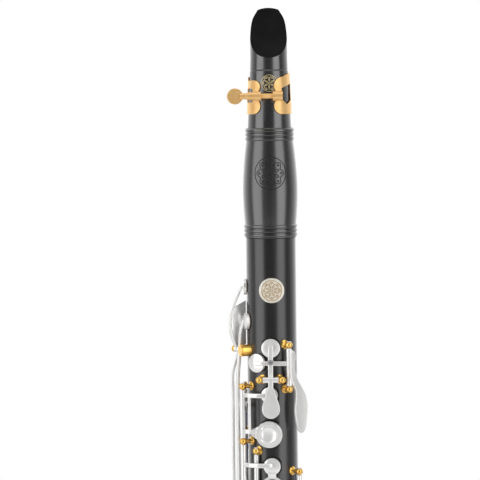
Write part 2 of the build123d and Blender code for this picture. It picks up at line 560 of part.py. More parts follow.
def thumb_rest_holes():
    return [out_cylinder(180, THUMB_REST_Z + s * 6.2, 1.0, LOWER_R - 3.5, LOWER_R + 1) for s in (-1, 1)]


# ---- how far each key opens, degrees about its hinge ----
STACK_OPEN, THUMB_OPEN, LH2_OPEN, RH_OPEN = 4.0, 3.6, 4.0, 3.5
F_C_OPEN, E_B_OPEN, FS_CS_OPEN = 5.5, 6.0, 5.5


def key_cup(holes, name, body_r):
    az, z, _, _, r = holes[name]
    return cup(az, z, r, body_r)


def key_pad(holes, name, body_r):
    az, z, _, _, r = holes[name]
    return pad(az, z, r, body_r)


def opened(shape, hinge, angle):
    return shape.rotate(hinge_axis(hinge), angle)


# ---- throat keys ----
A_SCREW_Z = A_PIVOT_Z + 10.8


def make_throat_a():
    az, cup_z = A_HINGE_AZ, UPPER_HOLES["throat_a"][1]
    pivot = radial(az, A_HINGE_Y, A_PIVOT_Z)
    hub = pivot * Rot(0, 90, 0) * Cylinder(TUBE_R, 2 * (A_POST_SPREAD - BALL_END))
    bore = pivot * Rot(0, 90, 0) * Cylinder(ROD_R + ROD_CLEARANCE, 2 * A_POST_SPREAD)
    lever = upright(az, [(20.0, A_PIVOT_Z - 1), (20.5, A_PIVOT_Z + 9), (17.7, cup_z + 1.5)], 3.0)
    boss = out_cylinder(az, A_SCREW_Z, 2.0, 19.7, 21.4)
    neck = upright(az, [(20.2, A_PIVOT_Z + 1), (21.1, A_PIVOT_Z - 3), (21.5, A_PIVOT_Z - 6.5)], 3.0, 1.4)
    leaf = touch(drop(18.6, 10.7, 3.4), az, A_PIVOT_Z - 4.4, 21.0, 22.3)
    screw_hole = out_cylinder(az, A_SCREW_Z, 0.9, 18, 23)
    whole = fuse([hub, lever, boss, neck, leaf, key_cup(UPPER_HOLES, "throat_a", UPPER_R)])
    return whole - [bore, screw_hole]


def make_a_screw():
    head = out_cylinder(A_HINGE_AZ, A_SCREW_Z, 1.5, 21.45, 22.3)
    slot = radial(A_HINGE_AZ, 22.3, A_SCREW_Z) * Box(4, 0.45, 0.8)
    return (head - slot) + out_cylinder(A_HINGE_AZ, A_SCREW_Z, 0.86, 19.2, 21.6)


def make_throat_gs():
    """The key beside the front one: its touch runs from its hinge tube to a broad leaf at the side."""
    az, z, _, _, r = UPPER_HOLES["throat_gs"]
    arm = wrap([GS_HINGE, (14, 17.9), (-3, 17.0), (-20, 17.0), (az, cup_top(UPPER_R) + 0.1)], z)
    arm -= cup_recess(az, z, r, UPPER_R)
    outline = make_face(Spline(
        (-2.0, 462.0), (-0.3, 460.5), (-0.1, 455), (0.5, 447), (3.4, 441.5), (6.7, 437.3), (9.4, 432.5),
        (10.4, 426.5), (9.4, 419), (7.4, 413.2), (4.8, 411.5), (2.2, 413.8), (0.2, 420), (-0.3, 427),
        (0.4, 433), (0.1, 437.5), (-1.7, 441.4), (-3.4, 446), (-3.5, 455), (-3.5, 460.5), periodic=True))
    leaf = touch(Pos(0, -430) * outline, 38, 430, 21.1, 22.5, back=14)
    return hinged(GS_HINGE, GS_Z, [arm, leaf, key_cup(UPPER_HOLES, "throat_gs", UPPER_R)])


# ---- upper stack and its partners ----
STACK_LINK_Z = 427.5


def plateau(az, z, r, body_r):
    """A flat finger plate over a pad, with two turned rings and a dished middle."""
    rim = body_r - SEAT_DROP + PAD_GAP + PAD_PROUD
    outline = Polyline((0, 0, 1.55), (0, 0, PAD_RECESS), (r - 0.4, 0, PAD_RECESS), (r - 0.4, 0, 0),
                       (r, 0, 0), (r, 0, 1.75), (r - 0.35, 0, 2.1), (r - 1.9, 0, 2.15), (r - 2.1, 0, 1.85),
                       (r - 2.5, 0, 1.85), (r - 2.7, 0, 2.15), (r - 3.4, 0, 2.2), (r - 3.9, 0, 1.98))
    half, deep = r - 3.9, 0.43
    ball = (half ** 2 + deep ** 2) / (2 * deep)
    midway = 1.55 + ball - math.sqrt(ball ** 2 - half ** 2 / 4)
    dish = ThreePointArc((half, 0, 1.98), (half / 2, 0, midway), (0, 0, 1.55))
    return radial(az, rim, z) * revolve(make_face([*outline.edges(), *dish.edges()]), Axis.Z)


def make_upper_stack():
    vent_az, vent_z = UPPER_HOLES["vent"][:2]
    lh1_az, lh1_z, _, _, lh1_r = UPPER_HOLES["lh1"]
    vent_arm = cup_arm(UPPER_HINGE, vent_az, vent_z, UPPER_R, 0.6)
    plate_arm = wrap([UPPER_HINGE, (-45, 20.4), (lh1_az - 27, 17.3)], lh1_z + 1.6)
    flare = make_face(Polyline((-5.5, 1.3), (-5.5, -1.3), (4.6, -5.6), (4.6, 5.6), close=True))
    funnel = touch(flare, -34, lh1_z + 0.6, 16.4, 17.6) - cup_recess(lh1_az, lh1_z, lh1_r, UPPER_R)
    brace = up_cylinder(0.85, lh1_z + 1.6, vent_z, tuple(polar(-43, 20.25))[:2])
    link = wrap([UPPER_HINGE, (-68, 19.6), (-78, 18.15), (-86, 17.85), (-93, 17.85)], STACK_LINK_Z, 2.6, 1.0)
    return hinged(UPPER_HINGE, UPPER_Z[1:], [
        vent_arm, plate_arm, funnel, brace, link, key_cup(UPPER_HOLES, "vent", UPPER_R),
        plateau(lh1_az, lh1_z, lh1_r, UPPER_R)])


def finger_ring(az, z, body_r):
    top = body_r + CHIMNEY_PROUD + 0.1
    return ring(az, z, CHIMNEY_R + 0.6, CHIMNEY_R + 2.2, top - 1.2, top)


def ring_arm(hinge, az, z, body_r):
    """An arm from a hinge line to the near edge of a finger ring."""
    side = 1 if az > hinge[0] else -1
    edge = az - side * 23.5
    end_r = body_r + CHIMNEY_PROUD - 0.35
    return wrap([hinge, ((hinge[0] + edge) / 2, (hinge[1] + end_r) / 2 + 0.7), (edge, end_r)], z, thick=1.2)


def make_thumb_ring():
    z = UPPER_CHIMNEYS["thumb"][1]
    arm = ring_arm(SIDE_HINGE_2, -180, z, UPPER_R)
    link = wrap([SIDE_HINGE_2, (-110, 17.7), (-103, 16.6), (-96, 16.3), (-87, 16.3)], STACK_LINK_Z, 2.6, 0.9)
    return hinged(SIDE_HINGE_2, SIDE_2_Z[1:], [arm, link, finger_ring(180, z, UPPER_R)])


BRIDGE_AZ = -71.0


def make_lh2():
    low = UPPER_Z[0]
    az, z, _, _, r = UPPER_HOLES["lh2"]
    ring_az, ring_z, _ = UPPER_CHIMNEYS["lh2"]
    neck = upright(az, [(17.3, z - r + 1.2), (16.9, z - r - 0.3), (16.2, z - r - 1.6)], 5.0, 1.2)
    tab = block(BRIDGE_AZ, 23.3, 24.5, LOWER_TOP - 5, low + 7, 3.6)
    web = wrap([UPPER_HINGE, (-64, 23.0), (BRIDGE_AZ, 23.8)], low + 5, 3.4, 1.4)
    return hinged(UPPER_HINGE, UPPER_Z[:2], [
        cup_arm(UPPER_HINGE, az, z + 0.8, UPPER_R, 1.3), key_cup(UPPER_HOLES, "lh2", UPPER_R), neck,
        finger_ring(ring_az, ring_z, UPPER_R), tab, web])


SLIVER_TUBE_R = 1.35


def make_sliver(holes, name, posts_z, z_touch, body_r):
    """A small side-opening key between two finger holes: its touch at the front, its cup at the side."""
    az, z = holes[name][:2]
    hinge_az, shank_r = SLIVER_HINGE[0], body_r + 2.9
    leaf = touch(SlotOverall(9.2, 4.2, rotation=90), hinge_az + 12.5, z_touch, body_r + 2.3, body_r + 3.5)
    shank = wrap([SLIVER_HINGE, (hinge_az + 5, shank_r), (hinge_az + 10, shank_r)], z_touch, 5, 1.1)
    arm = cup_arm(SLIVER_HINGE, az, z, body_r, 0.55, thick=1.2)
    return hinged(SLIVER_HINGE, posts_z, [arm, key_cup(holes, name, body_r), leaf, shank], SLIVER_TUBE_R)


def make_side(name, hinge, posts_z, z_arm, touch_az, touch_z):
    """One of the two lower side keys: hinged along the back, its touch on the side."""
    az, z = UPPER_HOLES[name][:2]
    leaf = touch(SlotOverall(15, 4.1, rotation=90), touch_az, touch_z, 21.0, 22.3)
    shank = wrap([hinge, ((hinge[0] + touch_az) / 2, 21.2), (touch_az, 21.6)], z_arm, 3.4, 1.3)
    arm = cup_arm(hinge, az, z, UPPER_R, 0.5)
    return hinged(hinge, posts_z, [arm, key_cup(UPPER_HOLES, name, UPPER_R), leaf, shank])


def make_c_sharp():
    az, z = UPPER_HOLES["c_sharp"][:2]
    outline = make_face(Spline(
        (-8.4, 376), (-6.0, 377), (-3.0, 371), (2.0, 367.5), (7.2, 365.5), (9.6, 361.5), (8.0, 357),
        (2.5, 356), (-3.5, 359.5), (-6.6, 366), (-8.6, 371.5), periodic=True))
    leaf = touch(Pos(0, -364) * outline, 72, 364, 21.6, 23.0)
    arm = cup_arm(CS_HINGE, az, z, UPPER_R, 0.4)
    return hinged(CS_HINGE, CS_Z, [arm, key_cup(UPPER_HOLES, "c_sharp", UPPER_R), leaf])


# ---- trill keys: long levers that rock on a pin through the saddle ----
def lever_point(u, v, z):
    """A point u outward from the bore at the saddle's azimuth and v towards the back."""
    return polar(SADDLE_AZ, u) - around(SADDLE_AZ) * v + Vector(0, 0, z)


def make_trill(name, v, u_rail, crest, width, leaf_v):
    az, cup_z = UPPER_HOLES[name][:2]
    across = -around(SADDLE_AZ)
    turn = math.radians(SADDLE_AZ - az)
    top_r = cup_top(UPPER_R) + 0.1
    rail_line = ((u_rail, 356), (u_rail, 380), (u_rail, 410), (u_rail, 440), (u_rail - 0.4, 448),
                 (PIVOT_U + 0.6, 457.5), (PIVOT_U, 461.5))
    rail = bar([lever_point(u, v, z) for u, z in rail_line], across, width, 2.0)
    cup_end = lever_point(top_r * math.cos(turn), top_r * math.sin(turn), cup_z + 1.0)
    reach = bar([lever_point(PIVOT_U, v, SADDLE_Z - 1), *[lever_point(*p) for p in crest], cup_end],
                across, width, 1.7)
    pivot = Plane(origin=lever_point(PIVOT_U, v, SADDLE_Z), z_dir=across)
    hub, bore = pivot * Cylinder(2.1, 2.9), pivot * Cylinder(ROD_R + ROD_CLEARANCE, 12)
    tip = Plane(origin=lever_point(u_rail + 0.1, leaf_v, 362), x_dir=across, z_dir=polar(SADDLE_AZ, 1))
    leaf = extrude(tip * SlotOverall(20, 4.2, rotation=90), 0.7, both=True)
    return fuse([rail, reach, hub, leaf, key_cup(UPPER_HOLES, name, UPPER_R)]) - bore


def make_side_3():
    return make_trill("side_3", SIDE_3_V, 20.5, [(18.9, 5.0, 468), (18.5, 4.0, 474)], 2.7, 5.6)


def make_side_4():
    """The longer trill key: its lever bulges out over the shorter one, with a web down to the body."""
    crest = [(21.5, 9.4, 467), (23.6, 9.4, 475.5), (21.6, 9.0, 487)]
    key = make_trill("side_4", SIDE_4_V, 22.4, crest, 2.9, 10.2)
    outline = Polyline((18.2, 462), (21.4, 467.5), (23.4, 475.5), (21.5, 486.5), (12.0, 491), (12.0, 464.5),
                       close=True)
    plane = Plane(origin=lever_point(0, SIDE_4_V, 0), x_dir=polar(SADDLE_AZ, 1), z_dir=-around(SADDLE_AZ))
    web = extrude(plane * make_face(outline), 0.45, both=True)
    return key + (web - up_cylinder(UPPER_R + 1.0, 450, 500))


def trill_pin():
    """The pin both trill keys rock on, from just past the saddle post to just past the far post."""
    v0, v1 = -3.4, PIVOT_END_V + 1.2
    middle = Plane(origin=lever_point(PIVOT_U, (v0 + v1) / 2, SADDLE_Z), z_dir=around(SADDLE_AZ))
    return middle * Cylinder(ROD_R, v1 - v0)


def saddle_post():
    base = UPPER_R - 1.0
    barrel = out_cylinder(SADDLE_AZ, SADDLE_Z, SADDLE_R, base, 20.4) + out_cylinder(
        SADDLE_AZ, SADDLE_Z, SADDLE_R - 0.5, 20.3, 21.0)
    return barrel + out_cylinder(SADDLE_AZ, SADDLE_Z, 1.5, base - 3.5, base + 0.5)


# ---- register key ----
def make_register():
    cup_z = UPPER_HOLES["register"][1]
    pivot = radial(180, REGISTER_PIVOT_R, REGISTER_PIVOT_Z)
    hub = pivot * Rot(0, 90, 0) * Cylinder(TUBE_R + 0.2, 2 * (REGISTER_SPREAD - BALL_END))
    bore = pivot * Rot(0, 90, 0) * Cylinder(ROD_R + ROD_CLEARANCE, 2 * REGISTER_SPREAD)
    z = REGISTER_PIVOT_Z
    reach = upright(180, [(19.5, z - 1), (20.6, z + 13), (17.7, cup_z + 1)], 3.2, 1.6)
    handle = upright(180, [(19.7, z + 1), (20.3, z - 14), (19.4, 444)], 3.2, 1.1)
    leaf = touch(drop(13.5, 8.6, 4.4), 180, 449.5, 18.6, 20.0)
    return fuse([hub, reach, handle, leaf, key_cup(UPPER_HOLES, "register", UPPER_R)]) - bore


def cross_pin(az, r, z, spread):
    return radial(az, r, z) * Rot(0, 90, 0) * Cylinder(ROD_R, 2 * spread + 3.2)


# ---- lower joint keys ----
TAB_R, TAB_THICK = 24.9, 1.1       # the outer tab of each coupled pair; the inner one lies TAB_GAP below
TAB_GAP = 0.3


def make_rh_stack():
    vent_az, vent_z = LOWER_HOLES["rh_vent"][:2]
    rings = [finger_ring(az, z, LOWER_R) for az, z, _ in LOWER_CHIMNEYS.values()]
    arms = [ring_arm(RH_HINGE, az, z, LOWER_R) for az, z, _ in LOWER_CHIMNEYS.values()]
    tab = block(BRIDGE_AZ, 21.5, 22.8, 325.5, LOWER_TOP - 1, 3.6)
    web = wrap([RH_HINGE, (-62, 21.9), (BRIDGE_AZ, 22.1)], 326.9, 2.8, 1.3)
    return hinged(RH_HINGE, RH_Z, [
        *rings, *arms, cup_arm(RH_HINGE, vent_az, vent_z, LOWER_R, 0.5),
        key_cup(LOWER_HOLES, "rh_vent", LOWER_R), tab, web])


def make_g_sharp():
    az, z = LOWER_HOLES["g_sharp"][:2]
    shank = wrap([F_C_HINGE, (-58, 20.8), (-46, 19.6)], 242.5, 3.2, 1.3)
    leaf = touch(RectangleRounded(6.2, 13, 2.6), -45.5, 243, 19.0, 20.3)
    arm = cup_arm(F_C_HINGE, az, z, LOWER_R, 0.8)
    return hinged(F_C_HINGE, F_C_Z[1:], [arm, key_cup(LOWER_HOLES, "g_sharp", LOWER_R), shank, leaf])


BACK_LINK_Z = 211.0


def make_f_c():
    az, z = LOWER_HOLES["f_c"][:2]
    shank = wrap([F_C_HINGE, (-58, 20.8), (-46, 19.6)], 216.5, 3.2, 1.3)
    leaf = touch(RectangleRounded(6.2, 13, 2.6), -45.5, 216, 19.0, 20.3)
    link = wrap([F_C_HINGE, (-84, 21.3), (-112, 20.6), (-140, 20.4), (-162, 20.4)], BACK_LINK_Z, 3.0, 1.2)
    arm = cup_arm(F_C_HINGE, az, z, LOWER_R, 0.8)
    return hinged(F_C_HINGE, F_C_Z[:2], [arm, link, key_cup(LOWER_HOLES, "f_c", LOWER_R), shank, leaf])


def make_lh_f_c():
    link = wrap([LH_F_C_HINGE, (132, 20.6), (158, 19.2), (182, 18.8), (204, 18.8)], BACK_LINK_Z, 3.0, 1.2)
    return hinged(LH_F_C_HINGE, LH_F_C_Z, [link, *lever_touch(LH_F_C_HINGE, 310, 101, 325)])


def lever_touch(hinge, z_arm, az, z):
    """The left hand's long touch: a slim blade beside the hinge line and the arm that carries it."""
    shank = wrap([hinge, ((hinge[0] + az) / 2, 23.1), (az, 23.0)], z_arm, 3.4, 1.3)
    blade = touch(SlotOverall(36, 4.6, rotation=90), az, z, 22.3, 23.7)
    return [shank, blade]


def coupling_tab(hinge, az, z0, z1, z_arm, r_outer):
    """A flat tab beside a hinge line on a short arm."""
    halfway = ((hinge[0] + az) / 2, (hinge[1] + r_outer) / 2 + 0.2)
    shank = wrap([hinge, halfway, (az, r_outer - TAB_THICK / 2)], z_arm, 2.6, TAB_THICK)
    return [shank, block(az, r_outer - TAB_THICK, r_outer, z0, z1, 2.8)]


def make_e_b():
    az, z = LOWER_HOLES["e_b"][:2]
    cross = wrap([E_B_HINGE, (44, 20.6), (18, 19.3), (-8, 19.0), (-26, 19.3)], 227.5, 3.0, 1.4)
    leaf = touch(RectangleRounded(6.6, 13, 2.6), -25, 226.5, 18.9, 20.2)
    tab = coupling_tab(E_B_HINGE, 52, 234, 241.5, 238.5, TAB_R - TAB_THICK - TAB_GAP)
    return hinged(E_B_HINGE, E_B_Z[:2], [
        cup_arm(E_B_HINGE, az, z, LOWER_R, 0.8), cross, leaf, key_cup(LOWER_HOLES, "e_b", LOWER_R), *tab])


def make_lh_e_b():
    tab = coupling_tab(E_B_HINGE, 52, 237, 251.5, 249.2, TAB_R)
    return hinged(E_B_HINGE, E_B_Z[1:], [*lever_touch(E_B_HINGE, 318, 48.5, 322), *tab])


def make_fs_cs():
    az, z, _, _, r = LOWER_HOLES["fs_cs"]
    top_r = cup_top(LOWER_R) + 0.1
    reach = wrap([FS_CS_HINGE, (76, 19.0), (62, 17.65), (42, 17.6), (az, top_r)], z, 2.8, 1.4)
    reach -= cup_recess(az, z, r, LOWER_R)
    cross = wrap([FS_CS_HINGE, (76, 19.0), (62, 17.65), (36, 17.5), (4, 18.2), (-22, 19.2)], 236.5, 3.0, 1.4)
    leaf = touch(RectangleRounded(6.6, 13, 2.6), -25, 241, 18.9, 20.2)
    tab = coupling_tab(FS_CS_HINGE, 78, 237.5, 245, 242.5, TAB_R - TAB_THICK - TAB_GAP)
    return hinged(FS_CS_HINGE, FS_CS_Z[:2], [
        reach, cross, leaf, key_cup(LOWER_HOLES, "fs_cs", LOWER_R), *tab])


def make_lh_fs_cs():
    tab = coupling_tab(FS_CS_HINGE, 78, 240.5, 255, 252.7, TAB_R)
    return hinged(FS_CS_HINGE, FS_CS_Z[1:], [*lever_touch(FS_CS_HINGE, 314, 75, 327), *tab])


def make_thumb_rest():
    plate = touch(RectangleRounded(10, 19, 2.5), 180, THUMB_REST_Z, LOWER_R + 0.02, LOWER_R + 1.5)
    hook = upright(180, [(LOWER_R + 0.8, THUMB_REST_Z), (LOWER_R + 7, THUMB_REST_Z - 1.2),
                         (LOWER_R + 13, THUMB_REST_Z - 6)], 9.5, 1.7)
    holes = [out_cylinder(180, THUMB_REST_Z + s * 6.2, 1.05, LOWER_R - 2, LOWER_R + 4) for s in (-1, 1)]
    return plate + hook - holes


def make_thumb_rest_screws():
    screws = []
    for s in (-1, 1):
        z = THUMB_REST_Z + s * 6.2
        head = out_cylinder(180, z, 1.9, LOWER_R + 1.5, LOWER_R + 2.3)
        slot = radial(180, LOWER_R + 2.3, z) * Box(5, 0.5, 0.8)
        screws.append((head - slot) + out_cylinder(180, z, 1.0, LOWER_R - 3.5, LOWER_R + 1.6))
    return screws


# ---- fixed metal ----
SPRING_R, SPRING_LENGTH, SPRING_DROP = 0.3, 17.0, 2.75
# Needle springs: hinge line, height of the post that holds them, +1 for pointing up and -1 for down.
UPPER_SPRINGS = [(GS_HINGE, GS_Z[0], 1), (UPPER_HINGE, UPPER_Z[1], 1), (UPPER_HINGE, UPPER_Z[1], -1),
                 (SIDE_HINGE_2, SIDE_2_Z[1], 1), (SIDE_HINGE_2, SIDE_2_Z[1], -1),
                 (SIDE_HINGE_1, SIDE_1_Z[0], 1), (CS_HINGE, CS_Z[1], -1)]
LOWER_SPRINGS = [(RH_HINGE, RH_Z[1], -1), (F_C_HINGE, F_C_Z[1], 1), (F_C_HINGE, F_C_Z[1], -1),
                 (E_B_HINGE, E_B_Z[0], 1), (E_B_HINGE, E_B_Z[2], -1), (FS_CS_HINGE, FS_CS_Z[0], 1),
                 (FS_CS_HINGE, FS_CS_Z[2], -1), (LH_F_C_HINGE, LH_F_C_Z[0], 1)]


def needle_springs(springs):
    needles = []
    for (az, r), z, way in springs:
        p = polar(az, r - SPRING_DROP)
        z0, z1 = sorted((z - way * 1.2, z + way * SPRING_LENGTH))
        needles.append(up_cylinder(SPRING_R, z0, z1, (p.X, p.Y)))
    return needles


def make_posts(posts, body_r, taken):
    """Every post of a joint, bored for whatever passes through it."""
    bored = []
    for az, r, z in posts:
        whole = post(az, r, z, body_r)
        near = [t for t in taken if t.distance_to(whole.center()) < 8]
        bored.append(whole - near if near else whole)
    return bored


# ---- everything, named ----
upper_rods = [hinge_rod(hinge, heights[0], heights[-1]) for hinge, heights in UPPER_LINES]
lower_rods = [hinge_rod(hinge, heights[0], heights[-1]) for hinge, heights in LOWER_LINES]
cross_pins = [cross_pin(A_HINGE_AZ, A_HINGE_Y, A_PIVOT_Z, A_POST_SPREAD),
              cross_pin(180, REGISTER_PIVOT_R, REGISTER_PIVOT_Z, REGISTER_SPREAD), trill_pin()]
upper_springs, lower_springs = needle_springs(UPPER_SPRINGS), needle_springs(LOWER_SPRINGS)
upper_holes = [rod_hole(hinge, heights[0], heights[-1]) for hinge, heights in UPPER_LINES] + [
    *cross_pins, *upper_springs]
lower_holes = [rod_hole(hinge, heights[0], heights[-1]) for hinge, heights in LOWER_LINES] + [
    *lower_springs]
upper_posts = [*make_posts(UPPER_POSTS, UPPER_R, upper_holes), saddle_post() - trill_pin()]
lower_posts = make_posts(LOWER_POSTS, LOWER_R, lower_holes)
upper_body, lower_body = make_upper_joint(), make_lower_joint()
vent_az, vent_z = UPPER_HOLES["register"][:2]
thumb_z = UPPER_CHIMNEYS["thumb"][1]
bore_core = up_cylinder(BORE_R, thumb_z - 20, thumb_z + 20)

parts = {
    "bell": make_bell(),
    "bell_tenon_cork": ring_about_z(LOWER_CORK_R - 0.3, LOWER_CORK_R + 1.2,
                                    BELL_TOP - 2.5 - LOWER_CORK_LENGTH, LOWER_CORK_LENGTH),
    "lower_joint": lower_body,
    "lower_posts": Compound(children=lower_posts),
    "lower_hinge_rods": Compound(children=lower_rods),
    "lower_needle_springs": Compound(children=lower_springs),
    "thumb_rest": make_thumb_rest(),
    "thumb_rest_screws": Compound(children=make_thumb_rest_screws()),
    "rh_ring_key": opened(make_rh_stack(), RH_HINGE, -RH_OPEN),
    "rh_ring_pad": opened(key_pad(LOWER_HOLES, "rh_vent", LOWER_R), RH_HINGE, -RH_OPEN),
    "b_f_sharp_key": make_sliver(LOWER_HOLES, "rh_sliver", RH_SLIVER_Z, 281.0, LOWER_R),
    "b_f_sharp_pad": key_pad(LOWER_HOLES, "rh_sliver", LOWER_R),
    "a_flat_e_flat_key": make_g_sharp(),
    "a_flat_e_flat_pad": key_pad(LOWER_HOLES, "g_sharp", LOWER_R),
    "f_c_key": opened(make_f_c(), F_C_HINGE, -F_C_OPEN),
    "f_c_pad": opened(key_pad(LOWER_HOLES, "f_c", LOWER_R), F_C_HINGE, -F_C_OPEN),
    "e_b_key": opened(make_e_b(), E_B_HINGE, E_B_OPEN),
    "e_b_pad": opened(key_pad(LOWER_HOLES, "e_b", LOWER_R), E_B_HINGE, E_B_OPEN),
    "f_sharp_c_sharp_key": opened(make_fs_cs(), FS_CS_HINGE, FS_CS_OPEN),
    "f_sharp_c_sharp_pad": opened(key_pad(LOWER_HOLES, "fs_cs", LOWER_R), FS_CS_HINGE, FS_CS_OPEN),
    "left_e_b_lever": opened(make_lh_e_b(), E_B_HINGE, E_B_OPEN),
    "left_f_sharp_c_sharp_lever": opened(make_lh_fs_cs(), FS_CS_HINGE, FS_CS_OPEN),
    "left_f_c_lever": opened(make_lh_f_c(), LH_F_C_HINGE, F_C_OPEN),
    "upper_joint": upper_body,
    "upper_joint_corks": Compound(children=[
        ring_about_z(TENON_R - 0.9, CORK_R, UPPER_TOP + 2.5, CORK_LENGTH),
        ring_about_z(LOWER_CORK_R - 1.5, LOWER_CORK_R, LOWER_TOP - LOWER_CORK_LENGTH - 2.5,
                     LOWER_CORK_LENGTH)]),
    "upper_posts": Compound(children=upper_posts),
    "upper_hinge_rods": Compound(children=upper_rods + cross_pins),
    "upper_needle_springs": Compound(children=upper_springs),
    "medallion": out_cylinder(0, MEDALLION_Z, MEDALLION_R, MEDALLION_FACE - MEDALLION_THICK, MEDALLION_FACE),
    "bore_tubes": Compound(children=[
        ring(vent_az, vent_z, 1.5, 2.2, 5.6, UPPER_R - SEAT_DROP),
        ring(180, thumb_z, 3.8, 4.4, 5.0, UPPER_R + CHIMNEY_PROUD + 0.05) - bore_core]),
    "register_key": make_register(),
    "register_pad": key_pad(UPPER_HOLES, "register", UPPER_R),
    "throat_a_key": make_throat_a(),
    "throat_a_pad": key_pad(UPPER_HOLES, "throat_a", UPPER_R),
    "a_adjusting_screw": make_a_screw(),
    "throat_g_sharp_key": make_throat_gs(),
    "throat_g_sharp_pad": key_pad(UPPER_HOLES, "throat_gs", UPPER_R),
    "upper_stack_key": opened(make_upper_stack(), UPPER_HINGE, -STACK_OPEN),
    "upper_stack_pads": opened(Compound(children=[key_pad(UPPER_HOLES, n, UPPER_R) for n in ("vent", "lh1")]),
                               UPPER_HINGE, -STACK_OPEN),
    "thumb_ring_key": opened(make_thumb_ring(), SIDE_HINGE_2, THUMB_OPEN),
    "second_finger_key": opened(make_lh2(), UPPER_HINGE, -LH2_OPEN),
    "second_finger_pad": opened(key_pad(UPPER_HOLES, "lh2", UPPER_R), UPPER_HINGE, -LH2_OPEN),
    "e_flat_b_flat_key": make_sliver(UPPER_HOLES, "sliver", SLIVER_Z, 367.0, UPPER_R),
    "e_flat_b_flat_pad": key_pad(UPPER_HOLES, "sliver", UPPER_R),
    "side_key_1": make_side("side_1", SIDE_HINGE_1, SIDE_1_Z, 355.0, -124.5, 352.0),
    "side_key_2": make_side("side_2", SIDE_HINGE_2, SIDE_2_Z[:2], 369.5, -109.5, 363.0),
    "side_key_3": make_side_3(),
    "side_key_4": make_side_4(),
    **{f"side_key_{n}_pad": key_pad(UPPER_HOLES, f"side_{n}", UPPER_R) for n in (1, 2, 3, 4)},
    "c_sharp_g_sharp_key": make_c_sharp(),
    "c_sharp_g_sharp_pad": key_pad(UPPER_HOLES, "c_sharp", UPPER_R),
    "barrel": make_barrel(),
    "mouthpiece": make_mouthpiece(),
    "mouthpiece_cork": ring_about_z(TENON_R - 0.9, CORK_R, BARREL_TOP - TENON_LENGTH + 2.5, CORK_LENGTH),
    "reed": make_reed(),
    "ligature_band": fuse([make_ligature_band(), *make_ligature_lugs()]),
    "ligature_screw": make_ligature_screw(),
}

os.makedirs("parts", exist_ok=True)
for name, shape in parts.items():
    export_step(shape, f"parts/{name}.step")
print(len(parts), "sub-parts written")
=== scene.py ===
"""The looks of a B-flat Boehm clarinet: materials, generic rosettes, floor, light and camera."""
import json
import math

import bpy
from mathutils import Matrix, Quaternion, Vector


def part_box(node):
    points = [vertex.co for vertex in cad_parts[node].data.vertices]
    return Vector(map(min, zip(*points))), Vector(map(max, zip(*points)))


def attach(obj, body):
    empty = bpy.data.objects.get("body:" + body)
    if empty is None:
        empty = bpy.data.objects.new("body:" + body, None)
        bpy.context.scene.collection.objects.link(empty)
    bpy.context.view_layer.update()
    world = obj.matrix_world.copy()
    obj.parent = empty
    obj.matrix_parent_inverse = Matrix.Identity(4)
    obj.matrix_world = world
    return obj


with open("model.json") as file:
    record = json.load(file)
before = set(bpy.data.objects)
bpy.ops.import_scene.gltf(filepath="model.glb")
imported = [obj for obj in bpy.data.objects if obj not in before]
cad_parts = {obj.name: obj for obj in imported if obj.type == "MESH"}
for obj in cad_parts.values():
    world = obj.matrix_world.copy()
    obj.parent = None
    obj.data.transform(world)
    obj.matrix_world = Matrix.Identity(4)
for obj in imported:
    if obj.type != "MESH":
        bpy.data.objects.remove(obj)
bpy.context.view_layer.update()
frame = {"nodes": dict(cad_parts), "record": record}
nodes = frame["nodes"]
MM = 0.001

# ---- the pieces that carry looks: heights from the frame, radii as the CAD has them ----
TIP_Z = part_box("mouthpiece")[1].z
BEAK_FOOT_Z = TIP_Z - 30 * MM
MOUTH_FOOT_R, MOUTH_TOP_R = 13.1 * MM, 11.1 * MM
BARREL_LOW_Z, BARREL_HIGH_Z = (corner.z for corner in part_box("barrel"))
BARREL_BELLY_Z = BARREL_LOW_Z + 29.5 * MM
BEAD_BAND = 8 * MM                       # the beaded end of the barrel, above and below its swelling
BARREL_WAIST_R, BARREL_BELLY_R, BARREL_FOOT_R = 14.3 * MM, 16.7 * MM, 15.6 * MM
MEDALLION_LOW, MEDALLION_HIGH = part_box("medallion")

# ---- ornaments: height of the middle, radius, width of the lines ----
MOUTHPIECE_ROSETTE = (TIP_Z - 45.2 * MM, 4.9 * MM, 0.26 * MM)
BARREL_ROSETTE = (BARREL_LOW_Z + 39 * MM, 9.7 * MM, 0.5 * MM)
MEDALLION_Z = (MEDALLION_LOW.z + MEDALLION_HIGH.z) / 2
MEDALLION_RIM = (MEDALLION_Z, 7.0 * MM, 0.9 * MM)
MEDALLION_RELIEF = (MEDALLION_Z, 6.0 * MM, 0.42 * MM)


